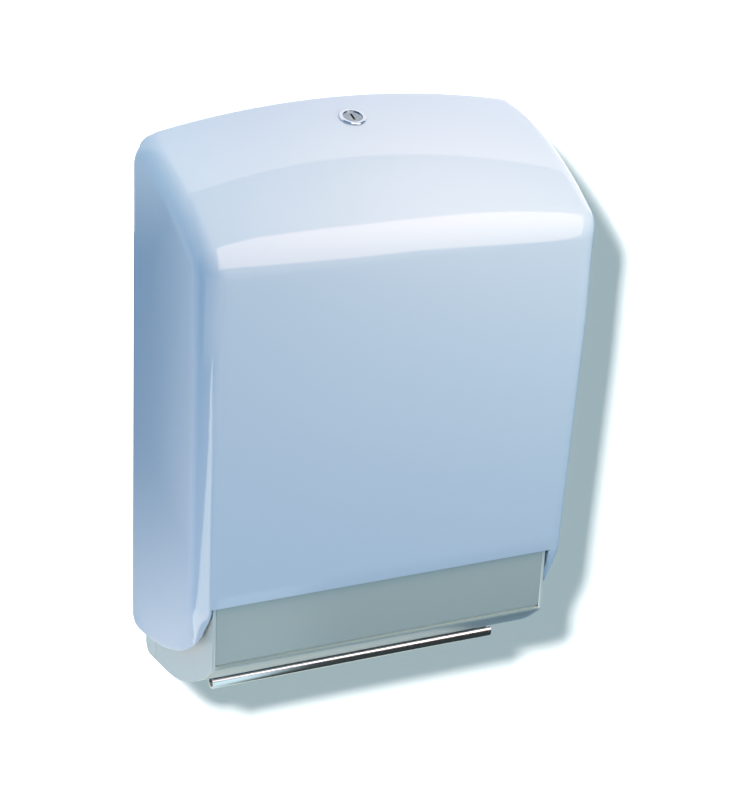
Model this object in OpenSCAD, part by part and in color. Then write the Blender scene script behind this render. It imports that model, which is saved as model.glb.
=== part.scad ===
// Wall-mounted dispenser for folded paper towels.
// A white hood swings forward on two pins at the foot of the wall plate and is held by a cam lock.
// A grey base under it carries the front panel and the exit slot with its polished lip.
// Sizes are in millimetres. X runs to the right, -Y points away from the wall, +Z is up.
// The origin is the middle of the wall screw pattern, on the wall. Heights count from the foot.

/* [Cover] */
// Width of the cover at the wall
cover_w = 296; // [270:1:320]
// How much each side draws in from the wall to the front
cover_draft = 2.5; // [1.5:0.1:4]
// Height of the crown of the roof
crown_z = 415; // [405:1:430]
// Depth of the cover at the brow
depth_top = 131; // [118:1:144]
// How far the front leans in from the brow down to the cut-out
lean_in = 12; // [8:0.5:16]
// Height of the brow, where roof and front would meet
brow_z = 346; // [338:1:354]
// Radius of the roof, seen from the side
roof_r = 300; // [270:5:340]
// Slope of the roof at the wall, in degrees
roof_slope = 10; // [8:1:12]
// Radius of the brow
brow_r = 32; // [24:1:38]
// Radius of the upright front corners
corner_r = 14; // [8:1:18]
// Radius of the edges between roof and sides
eave_r = 16; // [10:1:18]
// Radius of the roof's arch, seen from the front
arch_r = 650; // [600:10:760]
// Wall thickness of the cover
cover_wall = 2.5; // [2:0.1:3]
// Gap between the cover's back edge and the wall
wall_gap = 1; // [0.5:0.1:2]
// Gap between the front cut-out and the base, on each side
notch_gap = 2.5; // [1.5:0.1:4]
// Height of the top edge of the front cut-out
notch_z = 92; // [86:1:98]
// Distance from the wall to the end of the level part of the lower edge
skirt_level = 26; // [24:1:34]
// Slope of the lower edge, in degrees
skirt_slope = 18; // [14:1:20]
// Distance from the wall to the steeper front part of the lower edge
skirt_turn = 92; // [86:1:98]
// Slope of the front part of the lower edge, in degrees
skirt_front_slope = 35; // [30:1:38]
// Radius of the bend after the level part of the lower edge
skirt_level_r = 40; // [20:1:60]
// Radius of the bend before the front part of the lower edge
skirt_turn_r = 120; // [60:5:150]

/* [Base] */
// Distance from the side of the cover to the base, at the wall
side_gap = 11; // [9:0.5:13]
// Distance from the side of the cover to the base, at the front
side_front_gap = 15.5; // [14:0.5:18]
// Height of the top edge of the base
base_top = 104; // [102:1:110]
// Height of the lower front edge
chin_z = 44; // [40:1:48]
// Distance from the front of the base to the lowest corner of the curved underside
keel_in = 43.8; // [40:0.2:48]
// Height of that corner
keel_z = 5; // [4:0.5:7]
// Radius of the curved underside
keel_r = 110; // [90:5:115]
// Radius of the lower edge at the wall
heel_r = 8; // [5:0.5:10]
// Wall thickness of the base
base_wall = 2.5; // [2:0.1:3]
// Depth of the strip that belongs to the wall plate
strip_out = 18.6; // [17:0.2:20]
// Gap of the seam between strip and tray
seam = 0.4; // [0.3:0.1:0.8]
// Thickness of the wall plate
plate_t = 3; // [2.5:0.1:4]
// Gap between wall plate and cover
plate_gap = 2; // [1.5:0.1:3]
// Thickness of the front panel
panel_t = 2.5; // [2:0.1:3]
// Gap between the front panel and the cover in front of it
panel_gap = 0.7; // [0.5:0.1:1.2]

/* [Exit] */
// Distance from the side of the base to the exit slot
slot_margin = 22; // [20:1:30]
// Distance from the wall to the back edge of the slot
slot_back = 34; // [30:1:40]
// How far the polished lip runs past the slot, on each side
lip_over = 4.5; // [2:0.5:8]
// Outer radius of the rolled edge
lip_r = 5; // [4:0.1:5.4]
// Sheet thickness of the lip
lip_t = 1.2; // [0.8:0.1:1.5]
// Distance from the front of the base to the middle of the rolled edge
lip_in = 45.8; // [43:0.2:49]
// Height of the middle of the rolled edge
lip_z = 6.4; // [5.5:0.1:6.6]
// Height of the rib that carries the lip
rib_top = 26; // [24:1:30]
// Thickness of that rib
rib_t = 2.5; // [2:0.1:3.5]

/* [Towel guides] */
// Distance from the side of the cover to the towels
guide_margin = 21.8; // [20:0.2:26]
// Sheet thickness of the guides
guide_t = 2; // [1.5:0.1:2.5]
// Depth of the guides
guide_depth = 60; // [40:1:80]
// Width of the guide foot on the wall plate
guide_foot = 13; // [11:0.5:14]
// Height of the lower end of the guides
guide_low = 112; // [108:1:130]
// Height of the upper end of the guides
guide_high = 330; // [300:1:340]

/* [Hinge] */
// Distance from the wall to the pins
pivot_out = 12.5; // [12:0.1:14]
// Height of the pins
pivot_z = 38; // [36:0.5:40]
// Radius of the pins
pin_r = 3; // [2.5:0.1:3.5]
// Running clearance of the pins in the cover
pin_clear = 0.05; // [0.02:0.01:0.1]
// Clearance of the pins in the wall plate
pin_seat = 0.02; // [0.01:0.01:0.05]
// Radius of the lugs on the cover
lug_r = 8; // [7:0.1:9]
// Gap between lug and base
lug_gap = 1.2; // [0.8:0.1:2]
// Radius of the bosses on the wall plate
boss_r = 6; // [5:0.1:6.2]
// Length of the bosses on the wall plate
boss_len = 10; // [8:0.5:12]

/* [Lock] */
// Distance from the wall to the middle of the lock
lock_out = 30.5; // [29:0.5:34]
// Depth of the flat seat under the bezel
lock_seat = 0.4; // [0.3:0.1:0.6]
// Radius of the bezel
bezel_r = 9.5; // [9:0.1:11]
// Height of the bezel
bezel_h = 2; // [1.6:0.1:2.6]
// Radius of the barrel
barrel_r = 8; // [7.6:0.1:8.4]
// Length of the barrel under the bezel
barrel_len = 18; // [17:0.5:20]
// Radius of the plug
plug_r = 6; // [5.5:0.1:6.2]
// Running clearance of the plug
plug_clear = 0.05; // [0.02:0.01:0.1]
// Width of the keyway
keyway_w = 1.6; // [1.2:0.1:2]
// Number of wafers
wafer_count = 4; // [3:1:4]
// Thickness of the cam
cam_t = 2; // [1.6:0.1:2.2]
// Width of the cam
cam_w = 10; // [9:0.5:10]
// Reach of the cam from the lock's axis
cam_reach = 20; // [18:0.5:21]
// Side of the square tang that drives the cam
tang_w = 7; // [6:0.1:7.4]
// Gap between the locked cam and the strike
strike_gap = 0.6; // [0.4:0.1:1]
// Sheet thickness of the strike
strike_t = 2; // [1.5:0.1:2.5]
// Width of the strike
strike_w = 16; // [14:1:18]
// Distance from the middle to the strike
strike_x = 10; // [9.5:0.1:11]

/* [Wall screws] */
// Spacing of the wall screws across
mount_dx = 180; // [160:5:200]
// Spacing of the wall screws up and down
mount_dz = 220; // [200:5:230]
// Height of the middle of the pattern
mount_z = 230; // [225:1:235]
// Radius of the wall screw holes
mount_hole_r = 2.75; // [2.5:0.05:3.5]

/* [Fasteners] */
// Radius of the small screws
screw_r = 1.5; // [1.2:0.1:1.8]
// Clearance round the small screws
screw_clear = 0.05; // [0.02:0.01:0.1]
// Radius of the small screw heads
head_r = 3.2; // [2.8:0.1:3.6]
// Height of the small screw heads
head_h = 2; // [1.6:0.1:2.4]
// Radius of the rivets in the lip
rivet_r = 1.6; // [1.3:0.1:2]
// Spacing of the rivets in the lip
rivet_dx = 80; // [60:1:95]

/* [Hidden] */
$fn = 96;
// Depth of the chords that outlines use for their arcs
arc_sag = 0.04;
// Cuts reach this far past a face
over = 1;

// Side view of the hood: pairs are [distance from the wall, height]
depth_bottom = depth_top - lean_in;
cover_front_w = cover_w - 2 * cover_draft;
lean = atan(lean_in / (brow_z - notch_z));
face_n = [cos(lean), -sin(lean)];
face_up = [sin(lean), cos(lean)];
face_d = face_n * [depth_top, brow_z];
roof_c = [-roof_r * sin(roof_slope), crown_z - roof_r * cos(roof_slope)];
brow_g = [depth_top, brow_z] - brow_r * face_n - roof_c;
brow_rise = -brow_g * face_up
  + sqrt(pow(brow_g * face_up, 2) - brow_g * brow_g + pow(roof_r - brow_r, 2));
brow_c = roof_c + brow_g + brow_rise * face_up;
brow_a = atan2(brow_c[0] - roof_c[0], brow_c[1] - roof_c[1]);

// The arch of the roof is a second surface that falls forward at this angle
arch_tilt = 18;
arch_lift = 1;
eave_flat = 2.4;
arch_edge = asin((cover_w / 2 - eave_r - eave_flat) / arch_r);
arch_top = roof_c * [sin(arch_tilt), cos(arch_tilt)] + roof_r + arch_lift;
eave_side = 1;
corner_lift = 0.3;
behind = 40;

// Base and front panel
base_w = cover_w - 2 * side_gap;
base_front_w = cover_front_w - 2 * side_front_gap;
notch_w = base_front_w + 2 * notch_gap;
panel_out = depth_bottom - cover_wall / cos(lean) - panel_gap;
keel_out = panel_out - keel_in;
ledge_h = 2.2;
ledge_z = chin_z + ledge_h;
chin_r = 2;
plate_lap = 44;
plate_low = base_top - plate_lap;
floor_in = 2.2;
floor_up = 2.6;
lug_sink = 1;
bore_skin = 1.6;
blind_skin = 0.6;

// Tabs, ears and screws of the base
tab_t = 2.6;
tab_gap = 0.2;
tab_out = 6;
tab_lap = 6;
tab_low = chin_z + 4;
tab_high = base_top - 6;
tab_screw_out = 13;
tab_screw_in = 11;
tab_screw_zs = [tab_low + tab_screw_in, tab_high - tab_screw_in];
ear_w = 10;
ear_t = 4;
ear_h = 13;
head_room = 0.1;

// Exit lip
slot_w = base_front_w - 2 * slot_margin;
lip_len = slot_w + 2 * lip_over;
lip_out = panel_out - lip_in;
web_out = lip_out - lip_r + lip_t;
rib_end = 4;
rib_half = slot_w / 2 - rib_end;
web_short = 2;
web_top = rib_top - web_short;
rivet_in = 5;
rivet_z = web_top - rivet_in;
rivet_head = 1.2;

// Guides
guide_x = cover_w / 2 - guide_margin;
guide_screw_x = guide_x + guide_t + guide_foot / 2;
guide_screw_in = 29;
guide_screw_zs = [guide_low + guide_screw_in, guide_high - guide_screw_in];

// Lock: its axis stands square on the roof, counted from the seat under the bezel
lock_a = asin((lock_out - roof_c[0]) / roof_r);
lock_p = on(roof_c, roof_r - lock_seat, lock_a);
boss_low = -6;
boss_sink = 1;
lock_boss_r = 13;
barrel_clear = 0.1;
collar_w = 1;
collar_r = plug_r + collar_w;
collar_z = 0.4;
bezel_round = 1;
plug_sunk = 0.6;
plug_top = bezel_h - plug_sunk;
washer_t = 1;
nut_h = 4;
nut_flats = 22;
plug_out = 0.1;
plug_foot = -barrel_len - plug_out;
cam_low = plug_foot - cam_t;
tang_play = 0.04;
keyway_h = 7.6;
keyway_low = -12.5;
wafer_t = 1;
wafer_play = 0.05;
wafer_size = [5.1, 8.1];
wafer_window = [2, 6];
wafer_top = -2.6;
wafer_step = 2.5;
cam_screw_r = 1.9;
cam_screw_top = -15.6;
cam_screw_play = 0.2;
cam_rim = 1.5;
cam_head_h = 2.6;
cam_head_r = 3.8;

// Strike: the lip stands in front of the locked cam, the arm runs under it
cam_front = lock_world(-cam_w / 2, plug_foot);
cam_under = lock_world(-cam_w / 2, cam_low);
strike_room = 3;
strike_h = 26;
strike_screw_in = 16;
strike_screw_edge = 4;
strike_lip = cam_front[0] + strike_gap;
strike_arm = cam_under[1] - strike_room;
strike_top = cam_front[1] + strike_room;
strike_foot = strike_arm - strike_h;
strike_screw_z = strike_arm - strike_screw_in;
strike_screw_xs = [strike_x + strike_screw_edge, strike_x + strike_w - strike_screw_edge];

// Screws
screw_short = 1;
recess_w = 0.8;
recess_len = 1.2;
recess_floor = 0.45;

function unit(v) = v / norm(v);
// Point on a circle, with the angle counted from straight up
function on(c, r, a) = c + r * [sin(a), cos(a)];
// Direction of a vector, counted the same way
function bearing(v) = atan2(v[0], v[1]);
// The same angle the shorter way round
function turn(a) = atan2(sin(a), cos(a));
// Points along an arc, close enough that no chord lies further inside it than arc_sag
function arc(c, r, from, to) =
  let (steps = max(2, ceil(abs(to - from) / (2 * acos(1 - arc_sag / r)))))
  [for (i = [0 : steps]) on(c, r, from + (to - from) * i / steps)];
// Half width of the base at a distance from the wall
function base_half(out) = base_w / 2 - (base_w - base_front_w) / 2 * out / panel_out;
// Half width of the cover at a distance from the wall
function cover_half(out) = cover_w / 2 - (cover_w - cover_front_w) / 2 * out / depth_top;
// Distance from the wall and height of a point given in the lock's own frame
function lock_world(y, z) =
  [lock_p[0] - y * cos(lock_a) + z * sin(lock_a), lock_p[1] + y * sin(lock_a) + z * cos(lock_a)];

module place() { translate([0, 0, -mount_z]) children(); }

module both() {
  children();
  mirror([1, 0, 0]) children();
}

module block(x, out, z) {
  translate([x[0], -out[1], z[0]]) cube([x[1] - x[0], out[1] - out[0], z[1] - z[0]]);
}

module rod_x(r, x, out, z) {
  translate([x[0], -out, z]) rotate([0, 90, 0]) cylinder(r = r, h = x[1] - x[0]);
}

module rod_out(r, x, out, z) {
  translate([x, -out[0], z]) rotate([90, 0, 0]) cylinder(r = r, h = out[1] - out[0]);
}

// A side view drawn as [distance from the wall, height], given a width
module side_plate(w) {
  translate([-w / 2, 0, 0]) rotate([90, 0, 90]) linear_extrude(w) mirror([1, 0]) children();
}

// A convex outline with a radius at each corner
module rounded(pts, radii) {
  last = len(pts) - 1;
  u = [for (i = [0 : last]) unit(pts[(i + last) % (last + 1)] - pts[i])];
  v = [for (i = [0 : last]) unit(pts[(i + 1) % (last + 1)] - pts[i])];
  half = [for (i = [0 : last]) acos(u[i] * v[i]) / 2];
  c = [for (i = [0 : last]) pts[i] + unit(u[i] + v[i]) * radii[i] / sin(half[i])];
  from = [for (i = [0 : last]) bearing(pts[i] + u[i] * radii[i] / tan(half[i]) - c[i])];
  to = [for (i = [0 : last]) bearing(pts[i] + v[i] * radii[i] / tan(half[i]) - c[i])];
  polygon([for (i = [0 : last])
    each radii[i] > 0 ? arc(c[i], radii[i], from[i], from[i] + turn(to[i] - from[i])) : [pts[i]]]);
}

// Roof, brow and front in side view, a distance d inside the outer skin
module hood_side(d, back, low) {
  start = asin((back - roof_c[0]) / (roof_r - d));
  roof = arc(roof_c, roof_r - d, start, brow_a);
  brow = arc(brow_c, brow_r - d, brow_a, 90 + lean);
  top = brow[len(brow) - 1];
  foot = top - (top[1] - low) / cos(lean) * face_up;
  polygon([[back, low], each roof, for (i = [1 : len(brow) - 1]) brow[i], foot]);
}

// The arch with its rounded eaves, seen along the roof
module hood_arch(d) {
  half = cover_w / 2 + eave_side - d;
  peak = arch_top - d + (arch_r - d) * (1 / cos(arch_edge) - 1);
  side = peak - half * tan(arch_edge);
  rounded([[half, 0], [half, side], [0, peak], [-half, side], [-half, 0]],
          [0, eave_r - d, arch_r - d, eave_r - d, 0]);
}

// Sides and upright corners, seen along the leaning front
module hood_plan(d) {
  spread = (cover_w - cover_front_w) / 2 * (behind - crown_z / 2 * sin(lean)) / depth_top;
  half = cover_w / 2 + spread - d;
  front = face_d + corner_lift - d;
  front_half = cover_front_w / 2 - d;
  rounded([[-half, behind], [half, behind], [front_half, -front], [-front_half, -front]],
          [0, 0, corner_r - d, corner_r - d]);
}

module hood(d, back, low) {
  intersection() {
    side_plate(2 * cover_w) hood_side(d, back, low);
    rotate([90 + arch_tilt, 0, 0])
      translate([0, 0, -2 * depth_top]) linear_extrude(5 * depth_top) hood_arch(d);
    rotate([lean, 0, 0])
      translate([0, 0, -depth_top]) linear_extrude(crown_z + 2 * depth_top) hood_plan(d);
  }
}

// What the side view keeps of the hood above its curved lower edge
module skirt() {
  r = pivot_out - wall_gap;
  low = pivot_z - r;
  turn = low + (skirt_turn - skirt_level) * tan(skirt_slope);
  end = depth_top + over;
  end_z = turn + (end - skirt_turn) * tan(skirt_front_slope);
  rounded([[wall_gap, low], [skirt_level, low], [skirt_turn, turn], [end, end_z],
           [end, crown_z + over], [wall_gap, crown_z + over]], [r, skirt_level_r, skirt_turn_r, 0, 0, 0]);
}

module at_lock() { translate([0, -lock_p[0], lock_p[1]]) rotate([lock_a, 0, 0]) children(); }

module front_cover() {
  color("white") place() difference() {
    union() {
      difference() {
        intersection() {
          hood(0, 0, 0);
          side_plate(2 * cover_w) skirt();
        }
        hood(cover_wall, -2 * over, -2 * over);
      }
      both() rod_x(lug_r, [base_half(0) + lug_gap, cover_half(pivot_out) - lug_sink], pivot_out, pivot_z);
      at_lock() translate([0, 0, boss_low]) cylinder(r = lock_boss_r, h = -boss_low - boss_sink);
    }
    block([-notch_w / 2, notch_w / 2], [panel_out - panel_t, depth_top], [0, notch_z]);
    at_lock() translate([0, 0, boss_low - over]) cylinder(r = barrel_r + barrel_clear, h = bezel_r);
    at_lock() cylinder(r = bezel_r + barrel_clear, h = bezel_r);
    both() rod_x(pin_r + pin_clear, [base_half(0), cover_half(pivot_out) - bore_skin], pivot_out, pivot_z);
  }
}

// Side view of the base
module base_side() {
  rounded([[0, 0], [keel_out, keel_z], [panel_out, chin_z], [panel_out, base_top], [0, base_top]],
          [heel_r, keel_r, chin_r, 0, 0]);
}

// Plan of the base, a distance d inside its sides
module base_plan(d) {
  ends = [-behind, depth_top];
  translate([0, 0, -over]) linear_extrude(base_top + 2 * over)
    polygon([for (p = [[-1, 0], [1, 0], [1, 1], [-1, 1]])
      [p[0] * (base_half(ends[p[1]]) - d), -ends[p[1]]]]);
}

module base_solid(out) {
  intersection() {
    side_plate(base_w + 2 * behind) base_side();
    base_plan(0);
    block([-cover_w, cover_w], out, [-over, base_top + over]);
  }
}

module back_plate() {
  color("gainsboro") place() difference() {
    union() {
      intersection() {
        hood(cover_wall + plate_gap, -over, 0);
        block([-cover_w, cover_w], [0, plate_t], [plate_low, crown_z]);
      }
      difference() {
        base_solid([0, strip_out]);
        intersection() {
          base_plan(base_wall);
          block([-cover_w, cover_w], [plate_t, strip_out + over], [base_wall, base_top + 2 * over]);
        }
      }
      both() rod_x(boss_r, [base_half(0) - base_wall - boss_len, base_half(pivot_out) - base_wall / 2],
                   pivot_out, pivot_z);
    }
    both() rod_x(pin_r + pin_seat, [base_half(0) - boss_len, base_half(0) + over], pivot_out, pivot_z);
    for (sx = [-1, 1], sz = [-1, 1])
      rod_out(mount_hole_r, sx * mount_dx / 2, [-over, plate_t + over], mount_z + sz * mount_dz / 2);
    both() for (z = tab_screw_zs)
      rod_x(screw_r + screw_clear, [base_half(strip_out) - 2 * base_wall, base_half(0) + over],
            tab_screw_out, z);
    both() for (z = guide_screw_zs)
      rod_out(screw_r + screw_clear, guide_screw_x, [blind_skin, plate_t + over], z);
    for (x = strike_screw_xs)
      rod_out(screw_r + screw_clear, x, [blind_skin, plate_t + over], strike_screw_z);
  }
}

module lower_tray() {
  inner = base_half(strip_out) - base_wall - tab_gap;
  ear_x = base_half(panel_out) - base_wall;
  color("silver") place() difference() {
    union() {
      difference() {
        base_solid([strip_out + seam, panel_out]);
        intersection() {
          base_plan(base_wall);
          union() {
            side_plate(2 * cover_w) translate([-floor_in, floor_up]) base_side();
            block([-cover_w, cover_w], [panel_out - panel_t, depth_top], [ledge_z, 2 * base_top]);
          }
        }
      }
      both() block([inner - tab_t, inner], [tab_out, strip_out + tab_lap], [tab_low, tab_high]);
      both() block([inner - tab_t, inner + base_wall / 2],
                   [strip_out + seam, strip_out + tab_lap], [tab_low, tab_high]);
      both() block([ear_x - ear_w, ear_x + base_wall / 2],
                   [panel_out - panel_t - ear_t, panel_out - panel_t], [base_top - ear_h, base_top]);
      block([-rib_half, rib_half], [web_out, web_out + rib_t], [keel_z + floor_up, rib_top]);
    }
    block([-slot_w / 2, slot_w / 2], [slot_back, web_out], [-over, rib_top + over]);
    both() for (z = tab_screw_zs)
      rod_x(screw_r + screw_clear, [inner - tab_t - over, inner + over], tab_screw_out, z);
    both() rod_out(screw_r + screw_clear, ear_x - ear_w / 2,
                   [panel_out - panel_t - ear_t - over, panel_out], base_top - ear_h / 2);
    for (i = [-1 : 1])
      rod_out(rivet_r + screw_clear, i * rivet_dx, [web_out - over, web_out + rib_t + over], rivet_z);
  }
}

module front_panel() {
  half = base_half(panel_out) - base_wall - tab_gap;
  ear_x = base_half(panel_out) - base_wall;
  color("darkgray") place() difference() {
    block([-half, half], [panel_out - panel_t, panel_out], [ledge_z, base_top]);
    both() rod_out(screw_r + screw_clear, ear_x - ear_w / 2,
                   [panel_out - panel_t - over, panel_out - blind_skin], base_top - ear_h / 2);
  }
}

module exit_lip() {
  color("lightsteelblue") place() {
    side_plate(lip_len) translate([lip_out, lip_z]) difference() {
      circle(lip_r);
      circle(lip_r - lip_t);
      polygon([[0, 0], [2 * lip_r, 2 * lip_r], [-2 * lip_r, 2 * lip_r], [-2 * lip_r, 0]]);
    }
    difference() {
      block([-rib_half, rib_half], [web_out - lip_t, web_out], [lip_z, web_top]);
      for (i = [-1 : 1])
        rod_out(rivet_r + screw_clear, i * rivet_dx, [web_out - 2 * lip_t, web_out + over], rivet_z);
    }
  }
}

module towel_guide() {
  difference() {
    union() {
      block([guide_x, guide_x + guide_t], [plate_t, plate_t + guide_depth], [guide_low, guide_high]);
      block([guide_x, guide_x + guide_t + guide_foot],
            [plate_t, plate_t + guide_t], [guide_low, guide_high]);
    }
    for (z = guide_screw_zs)
      rod_out(screw_r + screw_clear, guide_screw_x, [plate_t - over, plate_t + guide_t + over], z);
  }
}

module towel_guide_right() { color("whitesmoke") place() towel_guide(); }

module towel_guide_left() { color("whitesmoke") place() mirror([1, 0, 0]) towel_guide(); }

module hinge_pin() {
  rod_x(pin_r, [base_half(0) - boss_len + tab_gap, cover_half(pivot_out) - bore_skin - tab_gap],
        pivot_out, pivot_z);
}

module hinge_pin_right() { color("lightgray") place() hinge_pin(); }

module hinge_pin_left() { color("lightgray") place() mirror([1, 0, 0]) hinge_pin(); }

module lock_strike() {
  wide = [strike_x, strike_x + strike_w];
  color("silver") place() difference() {
    union() {
      block(wide, [plate_t, plate_t + strike_t], [strike_foot, strike_arm]);
      block(wide, [plate_t, strike_lip + strike_t], [strike_arm - strike_t, strike_arm]);
      block(wide, [strike_lip, strike_lip + strike_t], [strike_arm - strike_t, strike_top]);
    }
    for (x = strike_screw_xs)
      rod_out(screw_r + screw_clear, x, [plate_t - over, plate_t + strike_t + over], strike_screw_z);
  }
}

// A pan head screw that points along the bore from its seat
module screw(length) {
  difference() {
    union() {
      cylinder(r = head_r, h = head_h);
      translate([0, 0, -length]) cylinder(r = screw_r, h = length + head_h / 2);
    }
    for (a = [0, 90])
      rotate([0, 0, a]) translate([-recess_w / 2, -head_r * recess_len / 2, head_h * recess_floor])
        cube([recess_w, head_r * recess_len, head_h]);
  }
}

module screw_out(x, seat, z, length) { translate([x, -seat, z]) rotate([90, 0, 0]) screw(length); }

module strike_screws() {
  color("silver") place()
    for (x = strike_screw_xs)
      screw_out(x, plate_t + strike_t, strike_screw_z, strike_t + plate_t - screw_short);
}

module guide_screws() {
  color("silver") place() both()
    for (z = guide_screw_zs)
      screw_out(guide_screw_x, plate_t + guide_t, z, guide_t + plate_t - screw_short);
}

module tray_screws() {
  seat = base_half(tab_screw_out - head_r) + head_room;
  color("silver") place() both()
    for (z = tab_screw_zs)
      translate([seat, -tab_screw_out, z]) rotate([0, 90, 0]) screw(2 * base_wall + screw_short);
}

module panel_screws() {
  seat = panel_out - panel_t - ear_t;
  color("silver") place() both()
    translate([base_half(panel_out) - base_wall - ear_w / 2, -seat, base_top - ear_h / 2])
      rotate([-90, 0, 0]) screw(ear_t + panel_t - screw_short);
}

module lip_rivets() {
  ends = [web_out - lip_t, web_out + rib_t];
  color("silver") place()
    for (i = [-1 : 1]) {
      rod_out(rivet_r, i * rivet_dx, [ends[0] - rivet_head, ends[1] + rivet_head], rivet_z);
      rod_out(2 * rivet_r, i * rivet_dx, [ends[0] - rivet_head, ends[0]], rivet_z);
      rod_out(2 * rivet_r, i * rivet_dx, [ends[1], ends[1] + rivet_head], rivet_z);
    }
}

module lock_barrel() {
  color("lightgray") place() at_lock() difference() {
    union() {
      translate([0, 0, -barrel_len]) cylinder(r = barrel_r, h = barrel_len + bezel_h / 2);
      rotate_extrude()
        rounded([[0, 0], [bezel_r, 0], [bezel_r, bezel_h], [0, bezel_h]], [0, 0, bezel_round, 0]);
    }
    translate([0, 0, -barrel_len - over])
      cylinder(r = plug_r + plug_clear, h = barrel_len + bezel_h + 2 * over);
    translate([0, 0, collar_z - plug_clear]) cylinder(r = collar_r + plug_clear, h = bezel_h);
  }
}

module lock_washer() {
  color("silver") place() at_lock() translate([0, 0, boss_low - washer_t]) difference() {
    cylinder(r = lock_boss_r - washer_t, h = washer_t);
    translate([0, 0, -over]) cylinder(r = barrel_r + barrel_clear, h = washer_t + 2 * over);
  }
}

module lock_nut() {
  color("silver") place() at_lock() translate([0, 0, boss_low - washer_t - nut_h]) difference() {
    cylinder(r = nut_flats / 2 / cos(30), h = nut_h, $fn = 6);
    translate([0, 0, -over]) cylinder(r = barrel_r + barrel_clear, h = nut_h + 2 * over);
  }
}

module wafer_slot(i, play) {
  translate([0, 0, wafer_top - i * wafer_step])
    cube([wafer_size[0] + 2 * play, wafer_size[1] + 2 * play, wafer_t + 2 * play], center = true);
}

module lock_plug() {
  color("silver") place() at_lock() difference() {
    union() {
      translate([0, 0, plug_foot]) cylinder(r = plug_r, h = plug_top - plug_foot);
      translate([0, 0, collar_z]) cylinder(r = collar_r, h = plug_top - collar_z);
      translate([0, 0, cam_low / 2 + plug_foot / 2]) cube([tang_w, tang_w, cam_t], center = true);
    }
    translate([-keyway_w / 2, -keyway_h / 2, keyway_low])
      cube([keyway_w, keyway_h, plug_top - keyway_low + over]);
    for (i = [0 : wafer_count - 1]) wafer_slot(i, wafer_play);
    translate([0, 0, cam_low - over])
      cylinder(r = cam_screw_r + screw_clear, h = cam_screw_top + cam_screw_play - cam_low + over);
  }
}

module lock_wafers() {
  color("gold") place() at_lock()
    for (i = [0 : wafer_count - 1]) difference() {
      wafer_slot(i, 0);
      translate([0, 0, wafer_top - i * wafer_step])
        cube([wafer_window[0], wafer_window[1], wafer_t + over], center = true);
    }
}

module lock_cam() {
  color("silver") place() at_lock() translate([0, 0, cam_low]) difference() {
    union() {
      cylinder(r = plug_r + cam_rim, h = cam_t);
      translate([-cam_w / 2, 0, 0]) cube([cam_w, cam_reach - cam_w / 2, cam_t]);
      translate([0, cam_reach - cam_w / 2, 0]) cylinder(r = cam_w / 2, h = cam_t);
    }
    translate([-tang_w / 2 - tang_play, -tang_w / 2 - tang_play, -over])
      cube([tang_w + 2 * tang_play, tang_w + 2 * tang_play, cam_t + 2 * over]);
  }
}

module cam_washer() {
  color("silver") place() at_lock() translate([0, 0, cam_low - washer_t]) difference() {
    cylinder(r = plug_r, h = washer_t);
    translate([0, 0, -over]) cylinder(r = cam_screw_r + screw_clear, h = washer_t + 2 * over);
  }
}

module cam_screw() {
  color("silver") place() at_lock() union() {
    translate([0, 0, cam_low - washer_t - cam_head_h]) cylinder(r = cam_head_r, h = cam_head_h, $fn = 6);
    translate([0, 0, cam_low - washer_t - cam_head_h / 2])
      cylinder(r = cam_screw_r, h = cam_screw_top - cam_low + washer_t + cam_head_h / 2);
  }
}

back_plate();
lower_tray();
front_panel();
exit_lip();
towel_guide_left();
towel_guide_right();
hinge_pin_left();
hinge_pin_right();
lock_strike();
strike_screws();
tray_screws();
panel_screws();
guide_screws();
lip_rivets();
front_cover();
lock_barrel();
lock_washer();
lock_nut();
lock_plug();
lock_wafers();
lock_cam();
cam_washer();
cam_screw();
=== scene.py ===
import math

import bmesh
import bpy
from mathutils import Matrix, Vector


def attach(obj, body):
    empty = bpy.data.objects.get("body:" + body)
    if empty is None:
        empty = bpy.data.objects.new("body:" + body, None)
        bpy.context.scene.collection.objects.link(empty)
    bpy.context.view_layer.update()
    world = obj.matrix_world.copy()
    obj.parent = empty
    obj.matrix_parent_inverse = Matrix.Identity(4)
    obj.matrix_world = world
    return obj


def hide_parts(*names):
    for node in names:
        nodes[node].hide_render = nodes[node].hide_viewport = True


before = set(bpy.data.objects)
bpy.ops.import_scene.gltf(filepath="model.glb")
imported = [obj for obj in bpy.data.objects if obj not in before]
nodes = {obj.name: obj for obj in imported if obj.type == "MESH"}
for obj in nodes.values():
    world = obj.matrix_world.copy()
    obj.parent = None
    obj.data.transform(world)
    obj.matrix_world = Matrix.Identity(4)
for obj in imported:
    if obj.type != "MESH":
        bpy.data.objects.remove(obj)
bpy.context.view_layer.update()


# Back plate.
# The moulded plate that is screwed to the wall and carries the hinge pins at its foot.
# Light grey plastic; a strip of it shows between the wall and the base.

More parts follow.
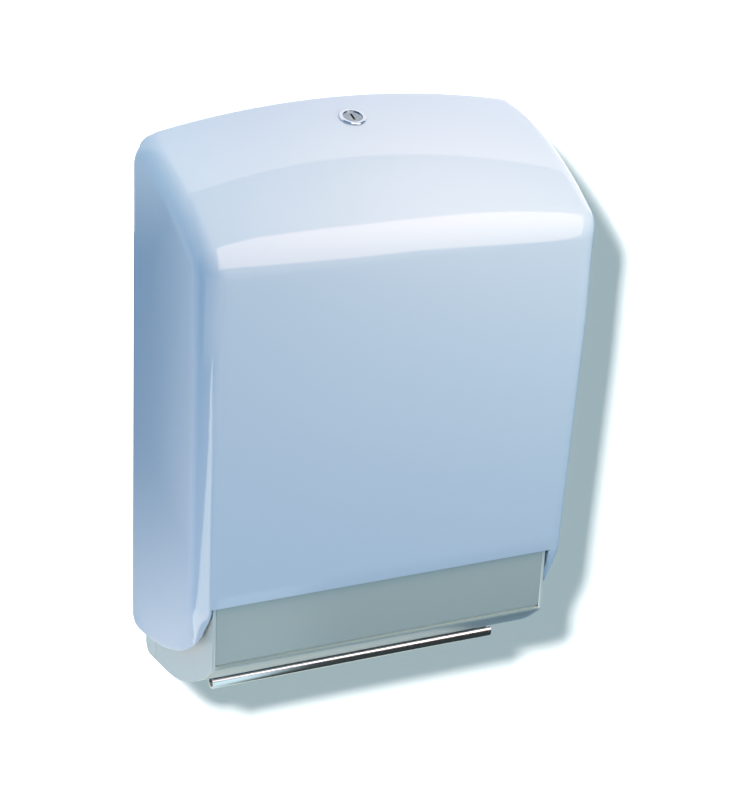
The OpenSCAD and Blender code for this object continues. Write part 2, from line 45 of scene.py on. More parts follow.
def eased_copy(node, name, material, ease, corners=None, corner_r=0.0):
    """The piece as moulded or turned: the solid's faces with their longer edges rounded by ease.

    Edges that corners picks out are rounded by corner_r before that."""
    seam, flat, crease, shortest = 2e-5, math.radians(0.4), 32.0, 2.2 * ease
    shape = bmesh.new()
    shape.from_mesh(nodes[node].data)
    bmesh.ops.remove_doubles(shape, verts=shape.verts, dist=seam)
    bmesh.ops.dissolve_limit(shape, angle_limit=flat, verts=shape.verts, edges=shape.edges)
    if corners:
        bmesh.ops.bevel(shape, geom=[e for e in shape.edges if corners(e)], offset=corner_r,
                        segments=6, profile=0.5, affect="EDGES")
    weight = shape.edges.layers.float.new("bevel_weight_edge")
    sharp = {e for e in shape.edges
             if len(e.link_faces) == 2 and e.calc_face_angle() > math.radians(crease)}
    for edge in sharp:
        meeting = {e for v in edge.verts for e in v.link_edges} & sharp
        if all(e.calc_length() > shortest for e in meeting):
            edge[weight] = 1.0
    mesh = mesh_of(name, shape)
    mesh.materials.clear()
    mesh.materials.append(material)
    piece = in_scene(name, mesh)
    rounding = piece.modifiers.new("eased_edges", "BEVEL")
    rounding.width = ease
    rounding.segments = 2
    rounding.limit_method = "WEIGHT"
    settle(piece)
    drop_slivers(piece)
    smooth(piece, crease)
    return piece


def mesh_of(name, shape):
    """A plain mesh of an edited shape."""
    mesh = bpy.data.meshes.new(name)
    shape.to_mesh(mesh)
    shape.free()
    return mesh


def in_scene(name, data):
    """An object of this mesh, lamp or lens in the scene."""
    thing = bpy.data.objects.new(name, data)
    bpy.context.scene.collection.objects.link(thing)
    return thing


def settle(piece):
    """Turns what the modifiers make into the piece's plain mesh."""
    seen = bpy.context.evaluated_depsgraph_get()
    seen.update()
    mesh = bpy.data.meshes.new_from_object(piece.evaluated_get(seen))
    piece.modifiers.clear()
    piece.data = mesh


def drop_slivers(piece):
    """Drops the slivers that rounding leaves where short edges meet."""
    least = 1e-6
    shape = bmesh.new()
    shape.from_mesh(piece.data)
    bmesh.ops.remove_doubles(shape, verts=shape.verts, dist=least)
    bmesh.ops.dissolve_degenerate(shape, edges=shape.edges, dist=least)
    shape.to_mesh(piece.data)
    shape.free()


def smooth(piece, crease):
    """Smooth shading, broken only where faces meet at more than crease degrees."""
    piece.data.polygons.foreach_set("use_smooth", [True] * len(piece.data.polygons))
    piece.data.set_sharp_from_angle(angle=math.radians(crease))


def grow(tree, kind, **values):
    """One node of a tree, with its settings and input values."""
    node = tree.nodes.new(kind)
    for name, value in values.items():
        label = name.replace("_", " ")
        if label in node.inputs:
            node.inputs[label].default_value = value
        else:
            setattr(node, name, value)
    return node


def wire(tree, *pairs):
    """Joins each pair of sockets."""
    for source, target in pairs:
        tree.links.new(source, target)


def new_group(name, kind, inputs, outputs):
    """An empty node group with named sockets, and its input and output nodes."""
    tree = bpy.data.node_groups.new(name, kind)
    for in_out, sockets in (("INPUT", inputs), ("OUTPUT", outputs)):
        for label, socket in sockets:
            tree.interface.new_socket(name=label, in_out=in_out,
                                      socket_type="NodeSocket" + socket)
    return tree, tree.nodes.new("NodeGroupInput"), tree.nodes.new("NodeGroupOutput")


def moulded_skin_group():
    """The skin of moulded plastic: a slow drift between two shades, fine changes of gloss
    and the faint ripple that the tool leaves."""
    tree, given, put = new_group(
        "moulded_skin", "ShaderNodeTree",
        [("Colour", "Color"), ("Shade", "Color"), ("Drift scale", "Float"),
         ("Gloss", "Float"), ("Gloss spread", "Float")],
        [("Colour", "Color"), ("Roughness", "Float"), ("Height", "Float")])
    place = grow(tree, "ShaderNodeTexCoord")
    drift = grow(tree, "ShaderNodeTexNoise", Detail=3.0, Roughness=0.55)
    blend = grow(tree, "ShaderNodeMix", data_type="RGBA")
    specks = grow(tree, "ShaderNodeTexNoise", Scale=420.0, Detail=4.0)
    spread = grow(tree, "ShaderNodeMath", operation="MULTIPLY_ADD")
    centre = grow(tree, "ShaderNodeMath", operation="SUBTRACT")
    centre.inputs[1].default_value = 0.5
    ripple = grow(tree, "ShaderNodeTexNoise", Scale=130.0, Detail=1.0)
    wire(tree,
         (place.outputs["Object"], drift.inputs["Vector"]),
         (place.outputs["Object"], specks.inputs["Vector"]),
         (place.outputs["Object"], ripple.inputs["Vector"]),
         (given.outputs["Drift scale"], drift.inputs["Scale"]),
         (drift.outputs["Fac"], blend.inputs["Factor"]),
         (given.outputs["Colour"], blend.inputs["A"]),
         (given.outputs["Shade"], blend.inputs["B"]),
         (specks.outputs["Fac"], centre.inputs[0]),
         (centre.outputs[0], spread.inputs[0]),
         (given.outputs["Gloss spread"], spread.inputs[1]),
         (given.outputs["Gloss"], spread.inputs[2]),
         (blend.outputs["Result"], put.inputs["Colour"]),
         (spread.outputs[0], put.inputs["Roughness"]),
         (ripple.outputs["Fac"], put.inputs["Height"]))
    return tree


def finish(name, group, relief, values):
    """A material whose colour, gloss and relief come from a group with these inputs."""
    material = bpy.data.materials.new(name)
    material.use_nodes = True
    tree = material.node_tree
    shader = tree.nodes["Principled BSDF"]
    skin = grow(tree, "ShaderNodeGroup", node_tree=group)
    for label, value in values.items():
        skin.inputs[label].default_value = value
    bump = grow(tree, "ShaderNodeBump", Strength=1.0, Distance=relief)
    wire(tree,
         (skin.outputs["Colour"], shader.inputs["Base Color"]),
         (skin.outputs["Roughness"], shader.inputs["Roughness"]),
         (skin.outputs["Height"], bump.inputs["Height"]),
         (bump.outputs["Normal"], shader.inputs["Normal"]))
    return material, shader


moulded_skin = moulded_skin_group()


def plastic(name, colour, shade, drift_scale, gloss, gloss_spread, ripple_depth, ior=1.49):
    """A moulded plastic finish."""
    material, shader = finish(name, moulded_skin, ripple_depth, {
        "Colour": (*colour, 1), "Shade": (*shade, 1), "Drift scale": drift_scale,
        "Gloss": gloss, "Gloss spread": gloss_spread})
    shader.inputs["IOR"].default_value = ior
    return material


shell_light = plastic("shell_light", (0.69, 0.73, 0.695), (0.65, 0.69, 0.66), drift_scale=14.0,
                      gloss=0.30, gloss_spread=0.10, ripple_depth=1e-5)
back_plate = eased_copy("back_plate", "dressed_back_plate", shell_light, ease=0.0003)
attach(back_plate, "housing")
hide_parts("back_plate")


# Hinge pins.
# Two turned steel pins, pressed into the bosses of the back plate and zinc plated.

def drawn_metal_group():
    """Bare or plated metal: a cloudy change between two shades and the grain of its making."""
    tree, given, put = new_group(
        "drawn_metal", "ShaderNodeTree",
        [("Colour", "Color"), ("Shade", "Color"), ("Grain", "Vector"),
         ("Gloss", "Float"), ("Gloss spread", "Float")],
        [("Colour", "Color"), ("Roughness", "Float"), ("Height", "Float")])
    place = grow(tree, "ShaderNodeTexCoord")
    stretch = grow(tree, "ShaderNodeVectorMath", operation="MULTIPLY")
    grain = grow(tree, "ShaderNodeTexNoise", Scale=1.0, Detail=4.0, Roughness=0.6)
    bloom = grow(tree, "ShaderNodeTexNoise", Scale=60.0, Detail=3.0)
    blend = grow(tree, "ShaderNodeMix", data_type="RGBA")
    spread = grow(tree, "ShaderNodeMath", operation="MULTIPLY_ADD")
    wire(tree,
         (place.outputs["Object"], stretch.inputs[0]),
         (given.outputs["Grain"], stretch.inputs[1]),
         (stretch.outputs[0], grain.inputs["Vector"]),
         (place.outputs["Object"], bloom.inputs["Vector"]),
         (bloom.outputs["Fac"], blend.inputs["Factor"]),
         (given.outputs["Colour"], blend.inputs["A"]),
         (given.outputs["Shade"], blend.inputs["B"]),
         (grain.outputs["Fac"], spread.inputs[0]),
         (given.outputs["Gloss spread"], spread.inputs[1]),
         (given.outputs["Gloss"], spread.inputs[2]),
         (blend.outputs["Result"], put.inputs["Colour"]),
         (spread.outputs[0], put.inputs["Roughness"]),
         (grain.outputs["Fac"], put.inputs["Height"]))
    return tree


drawn_metal = drawn_metal_group()


def metal(name, colour, shade, grain, gloss, gloss_spread, grain_depth):
    """A bare or plated metal finish with its drawing or turning marks."""
    material, shader = finish(name, drawn_metal, grain_depth, {
        "Colour": (*colour, 1), "Shade": (*shade, 1), "Grain": grain,
        "Gloss": gloss, "Gloss spread": gloss_spread})
    shader.inputs["Metallic"].default_value = 1.0
    return material


plated_steel = metal("plated_steel", (0.62, 0.64, 0.66), (0.50, 0.52, 0.55),
                     grain=(900, 900, 900), gloss=0.24, gloss_spread=0.16, grain_depth=1e-5)
for node in ("hinge_pin_left", "hinge_pin_right"):
    pin = eased_copy(node, "dressed_" + node, plated_steel, ease=0.0003)
    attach(pin, "housing")
    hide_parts(node)


# Towel guides.
# Two moulded cheeks inside the hood, screwed to the back plate, that keep the stack of
# folded towels in the middle. Natural off-white plastic.

guide_plastic = plastic("guide_plastic", (0.66, 0.67, 0.65), (0.60, 0.62, 0.61), drift_scale=18.0,
                        gloss=0.38, gloss_spread=0.12, ripple_depth=2e-5)
for node in ("towel_guide_left", "towel_guide_right"):
    guide = eased_copy(node, "dressed_" + node, guide_plastic, ease=0.0003)
    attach(guide, "housing")
    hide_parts(node)


def times(tree, source, factor):
    """A socket's value times a fixed factor."""
    step = grow(tree, "ShaderNodeMath", operation="MULTIPLY")
    step.inputs[1].default_value = factor
    tree.links.new(source, step.inputs[0])
    return step.outputs[0]


def fastener_tree(name, two_heads):
    """A tree that sets a domed screw with a cross recess, or a rivet with two heads, on each point.

    The head faces along the point's axis and the shank goes the other way."""
    sizes = ["Head radius", "Head height", "Shank radius", "Shank length"]
    if not two_heads:
        sizes += ["Recess length", "Recess width"]
    tree, given, put = new_group(
        name, "GeometryNodeTree",
        [("Places", "Geometry"), ("Finish", "Material")] + [(size, "Float") for size in sizes],
        [("Fasteners", "Geometry")])
    join = tree.links.new

    def triple(x=None, y=None, z=None):
        """A vector whose parts are sockets of the tree."""
        vector = tree.nodes.new("ShaderNodeCombineXYZ")
        for source, label in ((x, "X"), (y, "Y"), (z, "Z")):
            if source:
                join(source, vector.inputs[label])
        return vector.outputs[0]

    def shifted(mesh, **values):
        """A mesh moved, turned or stretched by fixed values or by sockets."""
        step = tree.nodes.new("GeometryNodeTransform")
        join(mesh, step.inputs["Geometry"])
        for label, value in values.items():
            if isinstance(value, bpy.types.NodeSocket):
                join(value, step.inputs[label])
            else:
                step.inputs[label].default_value = value
        return step.outputs[0]

    def combined(how, first, others):
        """A mesh cut by others, or all of them joined."""
        step = grow(tree, "GeometryNodeMeshBoolean", operation=how, solver="EXACT")
        if how == "DIFFERENCE":
            join(first, step.inputs["Mesh 1"])
        else:
            others = [first] + others
        for other in others:
            join(other, step.inputs["Mesh 2"])
        return step.outputs[0]

    head_r, head_h = given.outputs["Head radius"], given.outputs["Head height"]
    shank_length = given.outputs["Shank length"]
    block_size = 0.02
    ball = grow(tree, "GeometryNodeMeshUVSphere", Segments=32, Rings=16, Radius=1.0)
    block = grow(tree, "GeometryNodeMeshCube", Size=(block_size, block_size, block_size))
    dome = combined("DIFFERENCE", shifted(ball.outputs[0], Scale=triple(head_r, head_r, head_h)),
                    [shifted(block.outputs[0], Translation=(0, 0, -block_size / 2))])
    post = grow(tree, "GeometryNodeMeshCylinder", Vertices=24)
    join(given.outputs["Shank radius"], post.inputs["Radius"])
    join(shank_length, post.inputs["Depth"])
    parts = [shifted(post.outputs[0], Translation=triple(z=times(tree, shank_length, -0.5)))]
    if two_heads:
        parts.append(shifted(dome, Rotation=(math.pi, 0, 0),
                             Translation=triple(z=times(tree, shank_length, -1.0))))
    shape = combined("UNION", dome, parts)
    if not two_heads:
        long, wide = given.outputs["Recess length"], given.outputs["Recess width"]
        bars = []
        for size in (triple(long, wide, head_h), triple(wide, long, head_h)):
            bar = tree.nodes.new("GeometryNodeMeshCube")
            join(size, bar.inputs["Size"])
            bars.append(shifted(bar.outputs[0], Translation=triple(z=head_h)))
        shape = combined("DIFFERENCE", shape, bars)
    axis = grow(tree, "GeometryNodeInputNamedAttribute", data_type="FLOAT_VECTOR", Name="axis")
    facing = grow(tree, "FunctionNodeAlignRotationToVector", axis="Z")
    placed = tree.nodes.new("GeometryNodeInstanceOnPoints")
    real = tree.nodes.new("GeometryNodeRealizeInstances")
    coated = tree.nodes.new("GeometryNodeSetMaterial")
    wire(tree,
         (axis.outputs["Attribute"], facing.inputs["Vector"]),
         (given.outputs["Places"], placed.inputs["Points"]),
         (shape, placed.inputs["Instance"]),
         (facing.outputs[0], placed.inputs["Rotation"]),
         (placed.outputs[0], real.inputs["Geometry"]),
         (real.outputs[0], coated.inputs["Geometry"]),
         (given.outputs["Finish"], coated.inputs["Material"]),
         (coated.outputs[0], put.inputs[0]))
    return tree


def run_tree(piece, tree, values):
    """Runs a tree on the piece with these inputs and keeps the result as its plain mesh."""
    step = piece.modifiers.new(tree.name, "NODES")
    step.node_group = tree
    for item in tree.interface.items_tree:
        if item.in_out == "INPUT" and item.name in values:
            step[item.identifier] = values[item.name]
    settle(piece)


def fasteners(name, tree, places, values):
    """One mesh of like fasteners; a place is the point under the head and the way it faces."""
    mesh = bpy.data.meshes.new(name)
    mesh.from_pydata([spot for spot, _ in places], [], [])
    axis = mesh.attributes.new("axis", "FLOAT_VECTOR", "POINT")
    axis.data.foreach_set("vector", [c for _, way in places for c in way])
    piece = in_scene("dressed_" + name, mesh)
    run_tree(piece, tree, values)
    smooth(piece, crease=40)
    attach(piece, "housing")
    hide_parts(name)
    return piece


def screw_sizes(shank):
    """The small screws' sizes, with a shank of this length."""
    return {"Finish": plated_steel, "Head radius": 0.0032, "Head height": 0.002,
            "Shank radius": 0.0015, "Shank length": shank,
            "Recess length": 0.0036, "Recess width": 0.0009}


set_screws = fastener_tree("set_screws", two_heads=False)
flange_y, guide_screw_x, guide_screw_z = -0.005, 0.1347, (-0.089, 0.071)
guide_screws = fasteners("guide_screws", set_screws,
                         [((x, flange_y, z), (0, -1, 0)) for x in (-guide_screw_x, guide_screw_x)
                          for z in guide_screw_z], screw_sizes(0.004))


# Strike.
# The bent steel tongue at the top of the back plate that the lock's cam catches behind.
# Two screws hold it.

strike = eased_copy("lock_strike", "dressed_lock_strike", plated_steel, ease=0.00025)
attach(strike, "housing")
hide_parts("lock_strike")
strike_screw_x, strike_screw_z = (0.014, 0.022), 0.13788
strike_screws = fasteners("strike_screws", set_screws,
                          [((x, flange_y, strike_screw_z), (0, -1, 0)) for x in strike_screw_x],
                          screw_sizes(0.004))


# Base.
# The curved plastic tray under the hood, with the slot for the towels in its floor. Its cheeks
# are light grey. Its front and underside between the cheeks are painted darker, as shade, down to
# the panel's grey.
# Screws at its sides hold it to the back plate.

# Painted shade: between the cheeks and towards the front, the base's colour is multiplied down to
# the panel's grey.
cheek_inside, front_from = 0.1276, -0.06
painted_shade_tint = (0.72, 0.74, 0.715, 1)
tree = shell_light.node_tree
place = tree.nodes.new("ShaderNodeTexCoord")
parts = tree.nodes.new("ShaderNodeSeparateXYZ")
off_centre = grow(tree, "ShaderNodeMath", operation="ABSOLUTE")
between = grow(tree, "ShaderNodeMath", operation="LESS_THAN")
between.inputs[1].default_value = cheek_inside
ahead = grow(tree, "ShaderNodeMath", operation="LESS_THAN")
ahead.inputs[1].default_value = front_from
shaded_front = grow(tree, "ShaderNodeMath", operation="MULTIPLY")
painted_shade = grow(tree, "ShaderNodeMix", data_type="RGBA", blend_type="MULTIPLY", B=painted_shade_tint)
wire(tree,
     (place.outputs["Object"], parts.inputs[0]),
     (parts.outputs["X"], off_centre.inputs[0]),
     (off_centre.outputs[0], between.inputs[0]),
     (parts.outputs["Y"], ahead.inputs[0]),
     (between.outputs[0], shaded_front.inputs[0]),
     (ahead.outputs[0], shaded_front.inputs[1]),
     (shaded_front.outputs[0], painted_shade.inputs["Factor"]),
     (tree.nodes["Group"].outputs["Colour"], painted_shade.inputs["A"]),
     (painted_shade.outputs["Result"], tree.nodes["Principled BSDF"].inputs["Base Color"]))
lower_tray = eased_copy("lower_tray", "dressed_lower_tray", shell_light, ease=0.0005)
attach(lower_tray, "housing")
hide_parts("lower_tray")
tray_screw_x, tray_screw_y, tray_screw_z = 0.13651, -0.013, (-0.143, -0.171)
tray_screws = fasteners("tray_screws", set_screws,
                        [((side * tray_screw_x, tray_screw_y, z), (side, 0, 0))
                         for side in (-1, 1) for z in tray_screw_z], screw_sizes(0.006))


# Front panel.
# The satin grey plastic plate in the hood's cut-out, screwed to the base from behind.

panel_grey = plastic("panel_grey", (0.51, 0.555, 0.51), (0.48, 0.525, 0.485), drift_scale=5.0,
                     gloss=0.28, gloss_spread=0.02, ripple_depth=1e-6)
panel_half, panel_foot, panel_near = 0.1273, -0.1838, 2e-5


def panel_corner(edge):
    """Whether the edge runs from front to back at one of the panel's lower corners."""
    return all(abs(abs(v.co.x) - panel_half) < panel_near
               and abs(v.co.z - panel_foot) < panel_near for v in edge.verts)


front_panel = eased_copy("front_panel", "dressed_front_panel", panel_grey, ease=0.0006,
                         corners=panel_corner, corner_r=0.0030)
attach(front_panel, "housing")
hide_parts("front_panel")
panel_screw_x, panel_screw_y, panel_screw_z = 0.1225, -0.1093, -0.1325
panel_screws = fasteners("panel_screws", set_screws,
                         [((x, panel_screw_y, panel_screw_z), (0, 1, 0))
                          for x in (-panel_screw_x, panel_screw_x)], screw_sizes(0.0055))


# Lip.
# A strip of polished sheet metal rolled into a bead, which the towels are pulled over.
# Three rivets hold it to the base.

lip_metal = metal("lip_metal", (0.70, 0.73, 0.75), (0.63, 0.66, 0.68), grain=(30, 900, 900),
                  gloss=0.17, gloss_spread=0.08, grain_depth=4e-6)
mm = 0.001
part_rise = 230.0


def strip_tree():
    """A tree that draws a closed outline along x, as long as asked, with closed ends."""
    tree, given, put = new_group(
        "drawn_strip", "GeometryNodeTree",
        [("Outline", "Geometry"), ("Finish", "Material"), ("Length", "Float")],
        [("Strip", "Geometry")])
    edge = tree.nodes.new("GeometryNodeMeshToCurve")
    path = tree.nodes.new("GeometryNodeCurvePrimitiveLine")
    drawn = grow(tree, "GeometryNodeCurveToMesh", Fill_Caps=True)
    real = tree.nodes.new("GeometryNodeRealizeInstances")
    coated = tree.nodes.new("GeometryNodeSetMaterial")
    for share, label in ((-0.5, "Start"), (0.5, "End")):
        end = tree.nodes.new("ShaderNodeCombineXYZ")
        wire(tree,
             (times(tree, given.outputs["Length"], share), end.inputs["X"]),
             (end.outputs[0], path.inputs[label]))
    wire(tree,
         (given.outputs["Outline"], edge.inputs["Mesh"]),
         (path.outputs[0], drawn.inputs["Curve"]),
         (edge.outputs[0], drawn.inputs["Profile Curve"]),
         (drawn.outputs[0], real.inputs["Geometry"]),
         (real.outputs[0], coated.inputs["Geometry"]),
         (given.outputs["Finish"], coated.inputs["Material"]),
         (coated.outputs[0], put.inputs[0]))
    return tree


def strip(name, tree, outline, length):
    """A strip of the lip; its outline is distances from the wall and heights above the foot."""
    mesh = bpy.data.meshes.new(name)
    count = len(outline)
    mesh.from_pydata([(out * mm, (part_rise - z) * mm, 0) for out, z in outline],
                     [(k, (k + 1) % count) for k in range(count)], [])
    piece = in_scene(name, mesh)
    run_tree(piece, tree, {"Finish": lip_metal, "Length": length})
    shape = bmesh.new()
    shape.from_mesh(piece.data)
    bmesh.ops.remove_doubles(shape, verts=shape.verts, dist=1e-6)
    bmesh.ops.recalc_face_normals(shape, faces=shape.faces)
    shape.to_mesh(piece.data)
    shape.free()
    return piece


def work(piece, tool, how):
    """Joins another closed shape to the piece or cuts the piece with it."""
    step = piece.modifiers.new("work", "BOOLEAN")
    step.operation = how
    step.solver = "EXACT"
    step.object = tool
    settle(piece)
    bpy.data.objects.remove(tool)


bead_out, bead_z, bead_r, sheet = 70.0, 6.4, 5.0, 1.2
curl_start, curl_end, curl_steps, edge_steps = 180.0, 405.0, 60, 6
bead_length, web_length = 0.225, 0.208


def bead_point(radius, degrees):
    """A point of the bead's outline, round its middle."""
    angle = math.radians(degrees)
    return bead_out + radius * math.cos(angle), bead_z + radius * math.sin(angle)


curl = [curl_start + (curl_end - curl_start) * k / curl_steps for k in range(curl_steps + 1)]
tip_out, tip_z = bead_point(bead_r - sheet / 2, curl_end)
tip_turns = [math.radians(curl_end + 180 * k / edge_steps) for k in range(1, edge_steps)]
tip = [(tip_out + sheet / 2 * math.cos(turn), tip_z + sheet / 2 * math.sin(turn))
       for turn in tip_turns]
bead = ([bead_point(bead_r, v) for v in curl] + tip
        + [bead_point(bead_r - sheet, v) for v in reversed(curl)])
web_top, web_ease, web_lap = 24.0, 0.3, 0.3
web_back, web_front = bead_out - bead_r, bead_out - bead_r + sheet
web = [(web_back, bead_z - web_lap), (web_front, bead_z - web_lap),
       (web_front, web_top - web_ease), (web_front - web_ease, web_top),
       (web_back + web_ease, web_top), (web_back, web_top - web_ease)]
drawn_strip = strip_tree()
exit_lip = strip("dressed_exit_lip", drawn_strip, bead, bead_length)
work(exit_lip, strip("lip_web", drawn_strip, web, web_length), "UNION")
smooth(exit_lip, crease=35)
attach(exit_lip, "housing")
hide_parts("exit_lip")
rivet_x, rivet_y, rivet_z = (-0.08, 0.0, 0.08), -0.065, -0.211
lip_rivets = fasteners("lip_rivets", fastener_tree("set_rivets", two_heads=True),
                       [((x, rivet_y, rivet_z), (0, 1, 0)) for x in rivet_x],
                       {"Finish": lip_metal, "Head radius": 0.0032, "Head height": 0.0012,
                        "Shank radius": 0.0016, "Shank length": 0.0037})


# Hood.
# The white gloss plastic cover, moulded in one piece: an arched roof, a rounded brow, a front
# that leans in and sides that end in a curved skirt. It swings on the two pins at its foot.

def at(x, out, z):
    """A point x along the wall, out from it and z above the foot, in millimetres."""
    return Vector((x, -out, z - part_rise)) * mm


hood_wall, hood_back = 2.5, 1.0
depth_top, brow_z = 130.95, 346.0
cut_z, cut_half = 94.0, 131.4
lean_in, lean_rise = 12.0, 254.0
lean = math.atan(lean_in / lean_rise)
face_n = Vector((math.cos(lean), -math.sin(lean)))
face_up = Vector((math.sin(lean), math.cos(lean)))
roof_r, brow_r = 300.0, 32.0
roof_c = Vector((-52.0945, 119.5577))
brow_reach = Vector((depth_top, brow_z)) - brow_r * face_n - roof_c
brow_rise = -brow_reach.dot(face_up) + math.sqrt(
    brow_reach.dot(face_up) ** 2 - brow_reach.dot(brow_reach) + (roof_r - brow_r) ** 2)
brow_c = roof_c + brow_reach + brow_rise * face_up
brow_a = math.atan2(brow_c.x - roof_c.x, brow_c.y - roof_c.y)
arch_r, brow_share, front_share = 650.0, 0.50, 0.10
half_back, half_foot, half_gain = 148.0, 144.0, 3.5
wall_eave_r, eave_r, brow_corner_r, corner_r = 18.0, 14.0, 18.5, 14.0
eave_blend, level_blend = 30.0, 20.0
narrow_z = 265.0


def half_front(z):
    """Half the width of the front at this height."""
    return half_foot + half_gain * (min(z, brow_z) - cut_z) / (brow_z - cut_z)


def half_width(out, z):
    """Half the width at this distance from the wall and height."""
    return half_back - (half_back - half_front(z)) * out / depth_top


def soft_step(v):
    """A smooth rise from 0 to 1."""
    v = min(max(v, 0.0), 1.0)
    return v * v * (3 - 2 * v)


def heading(angle):
    """The way out and up, at this angle from upright."""
    return Vector((math.sin(angle), math.cos(angle)))


stations = []
brow_end = math.pi / 2 + lean
roof_outs = [1.0, 3.2, 5.6, 8.4, 12.0, 17.0, 24.0, 32.0, 40.0, 48.0, 57.0, 66.0, 75.0, 84.0,
             93.0, 101.0, 109.0]
brow_steps, front_steps = 18, 20
for out in roof_outs:
    angle = math.asin((out - roof_c.x) / roof_r)
    stations.append((roof_c + roof_r * heading(angle), angle))
for k in range(brow_steps + 1):
    angle = brow_a + (brow_end - brow_a) * k / brow_steps
    stations.append((brow_c + brow_r * heading(angle), angle))
front_top = stations[-1][0]


def front_at(z):
    """The point of the leaning front at this height."""
    return front_top - (front_top.y - z) / face_up.y * face_up


for k in range(1, front_steps + 1):
    stations.append((front_at(front_top.y + (cut_z - front_top.y) * k / front_steps), brow_end))

cut_angle = math.asin((cut_half - (half_front(cut_z) - corner_r)) / corner_r)
turns = [0.0, cut_angle] + [math.radians(v)
                            for v in (11, 17, 25, 33, 41, 49, 57, 65, 73, 81.5, 90)]
across_steps = 22


def corner_round(point, slope):
    """Radius of the rounding between roof, brow or front and side."""
    if slope < brow_a:
        return wall_eave_r + (eave_r - wall_eave_r) * soft_step(point.x / eave_blend)
    if point.y > front_top.y:
        turned = (slope - brow_a) / (brow_end - brow_a)
        return eave_r + (brow_corner_r - eave_r) * soft_step(turned)
    risen = (point.y - narrow_z) / (front_top.y - narrow_z)
    return corner_r + (brow_corner_r - corner_r) * soft_step(risen)


def arch_share(point, slope):
    """How much of the roof's arch is left: all at the wall, less at the brow, little in front."""
    if slope < brow_a:
        return 1 + (brow_share - 1) * point.x / stations[len(roof_outs)][0].x
    if point.y > front_top.y:
        return brow_share + (front_share - brow_share) * (slope - brow_a) / (brow_end - brow_a)
    return front_share * (point.y - cut_z) / (front_top.y - cut_z)


def hood_row(k):
    """One row of the roof, brow or front, from its middle round the corner to the right side."""
    point, slope = stations[k]
    level = Vector((0.0, 1.0))
    normal = level.lerp(heading(slope), soft_step(point.x / level_blend)).normalized()
    radius = corner_round(point, slope)
    core = point - radius * normal
    half = half_width(core.x, core.y)
    arching = arch_share(point, slope)
    row = []
    for c in range(across_steps + 1):
        x = (half - radius) * c / across_steps
        row.append((x, point.x, point.y - arching * x * x / (2 * arch_r)))
    for turn in turns[1:]:
        x = half - radius + radius * math.sin(turn)
        edge = core + radius * math.cos(turn) * normal
        row.append((x, edge.x, edge.y - arching * x * x / (2 * arch_r)))
    return row


# The skirt's edge and how far it rolls in there: round the toe by the corner's angle in degrees,
# and along the side by the distance from the wall, where it ends on the hinge's circle.
toe_edge = [(0, 86), (6, 84.5), (11, 81.2), (17, 77.8), (25, 74.2), (33, 71.8), (41, 69.5),
            (49, 67.6), (57, 65.9), (65, 64.4), (73, 63.0), (81.5, 61.6), (90, 60.2)]
toe_roll = [(0, 2.4), (6, 3.2), (11, 4.6), (17, 6.0), (25, 7.6), (33, 8.3), (49, 8.4),
            (65, 7.8), (81.5, 7.0), (90, 6.5)]
side_edge = [(1.0, 34.6), (3.0, 30.7), (5.3, 28.4), (8.0, 26.9), (10.4, 26.2), (14.0, 26.0),
             (19.0, 26.0), (26.0, 26.4), (35.0, 27.7), (49.6, 30.7), (69.9, 38.7), (85.5, 46.3),
             (95.2, 52.8), (104.0, 60.2)]
side_roll = [(0.0, 0.0), (6.0, 0.1), (10.4, 0.7), (19.0, 1.6), (26.0, 2.5), (35.0, 3.2),
             (49.6, 3.7), (69.9, 3.6), (85.5, 3.6), (95.2, 4.6), (104.0, 6.5)]
roll_reach, roll_power = 26.0, 1.3
tab_steps, rim_step = 14, 1.6
side_low, side_tries = 60.0, 8


def along(line, place):
    """A smooth curve through pairs of place and value, read at one place."""
    if place <= line[0][0]:
        return line[0][1]
    if place >= line[-1][0]:
        return line[-1][1]
    k = max(i for i, pair in enumerate(line[:-1]) if pair[0] <= place)
    (p0, v0), (p1, v1) = line[k], line[k + 1]
    before, after = line[max(k - 1, 0)], line[min(k + 2, len(line) - 1)]
    m0 = (v1 - before[1]) / (p1 - before[0])
    m1 = (after[1] - v0) / (after[0] - p0)
    span = p1 - p0
    t = (place - p0) / span
    return ((2 * t ** 3 - 3 * t ** 2 + 1) * v0 + (t ** 3 - 2 * t ** 2 + t) * span * m0
            + (3 * t ** 2 - 2 * t ** 3) * v1 + (t ** 3 - t ** 2) * span * m1)


def tab_column(spot, low, depth):
    """The skin from the cut-out's level down to its rolled edge, at one place of corner or side."""
    height = cut_z - low
    crowd = math.log(height / rim_step) / math.log(tab_steps)
    column = []
    for k in range(1, tab_steps + 1):
        z = low + height * (1 - k / tab_steps) ** crowd
        x, out, turn = spot(z)
        share = max(1 - (z - low) / min(roll_reach, height), 0.0)
        tuck = depth * (1 - (1 - share ** roll_power) ** (1 / roll_power))
        column.append((x - tuck * math.sin(turn), out - tuck * math.cos(turn), z))
    return column


def corner_column(turn):
    """One column of the skirt at this angle of the corner."""
    def spot(z):
        core = front_at(z) - corner_r * face_n
        half = half_width(core.x, core.y)
        return (half - corner_r + corner_r * math.sin(turn),
                core.x + corner_r * math.cos(turn), turn)
    angle = math.degrees(turn)
    return tab_column(spot, along(toe_edge, angle), along(toe_roll, angle))


def side_column(share):
    """One column of the skirt at this share of the way from the wall to the corner."""
    def spot(z):
        core = front_at(z) - corner_r * face_n
        out = hood_back + (core.x - hood_back) * share
        return half_width(out, z), out, math.pi / 2
    low = side_low
    for _ in range(side_tries):
        low = along(side_edge, spot(low)[1])
    return tab_column(spot, low, along(side_roll, spot(low)[1]))


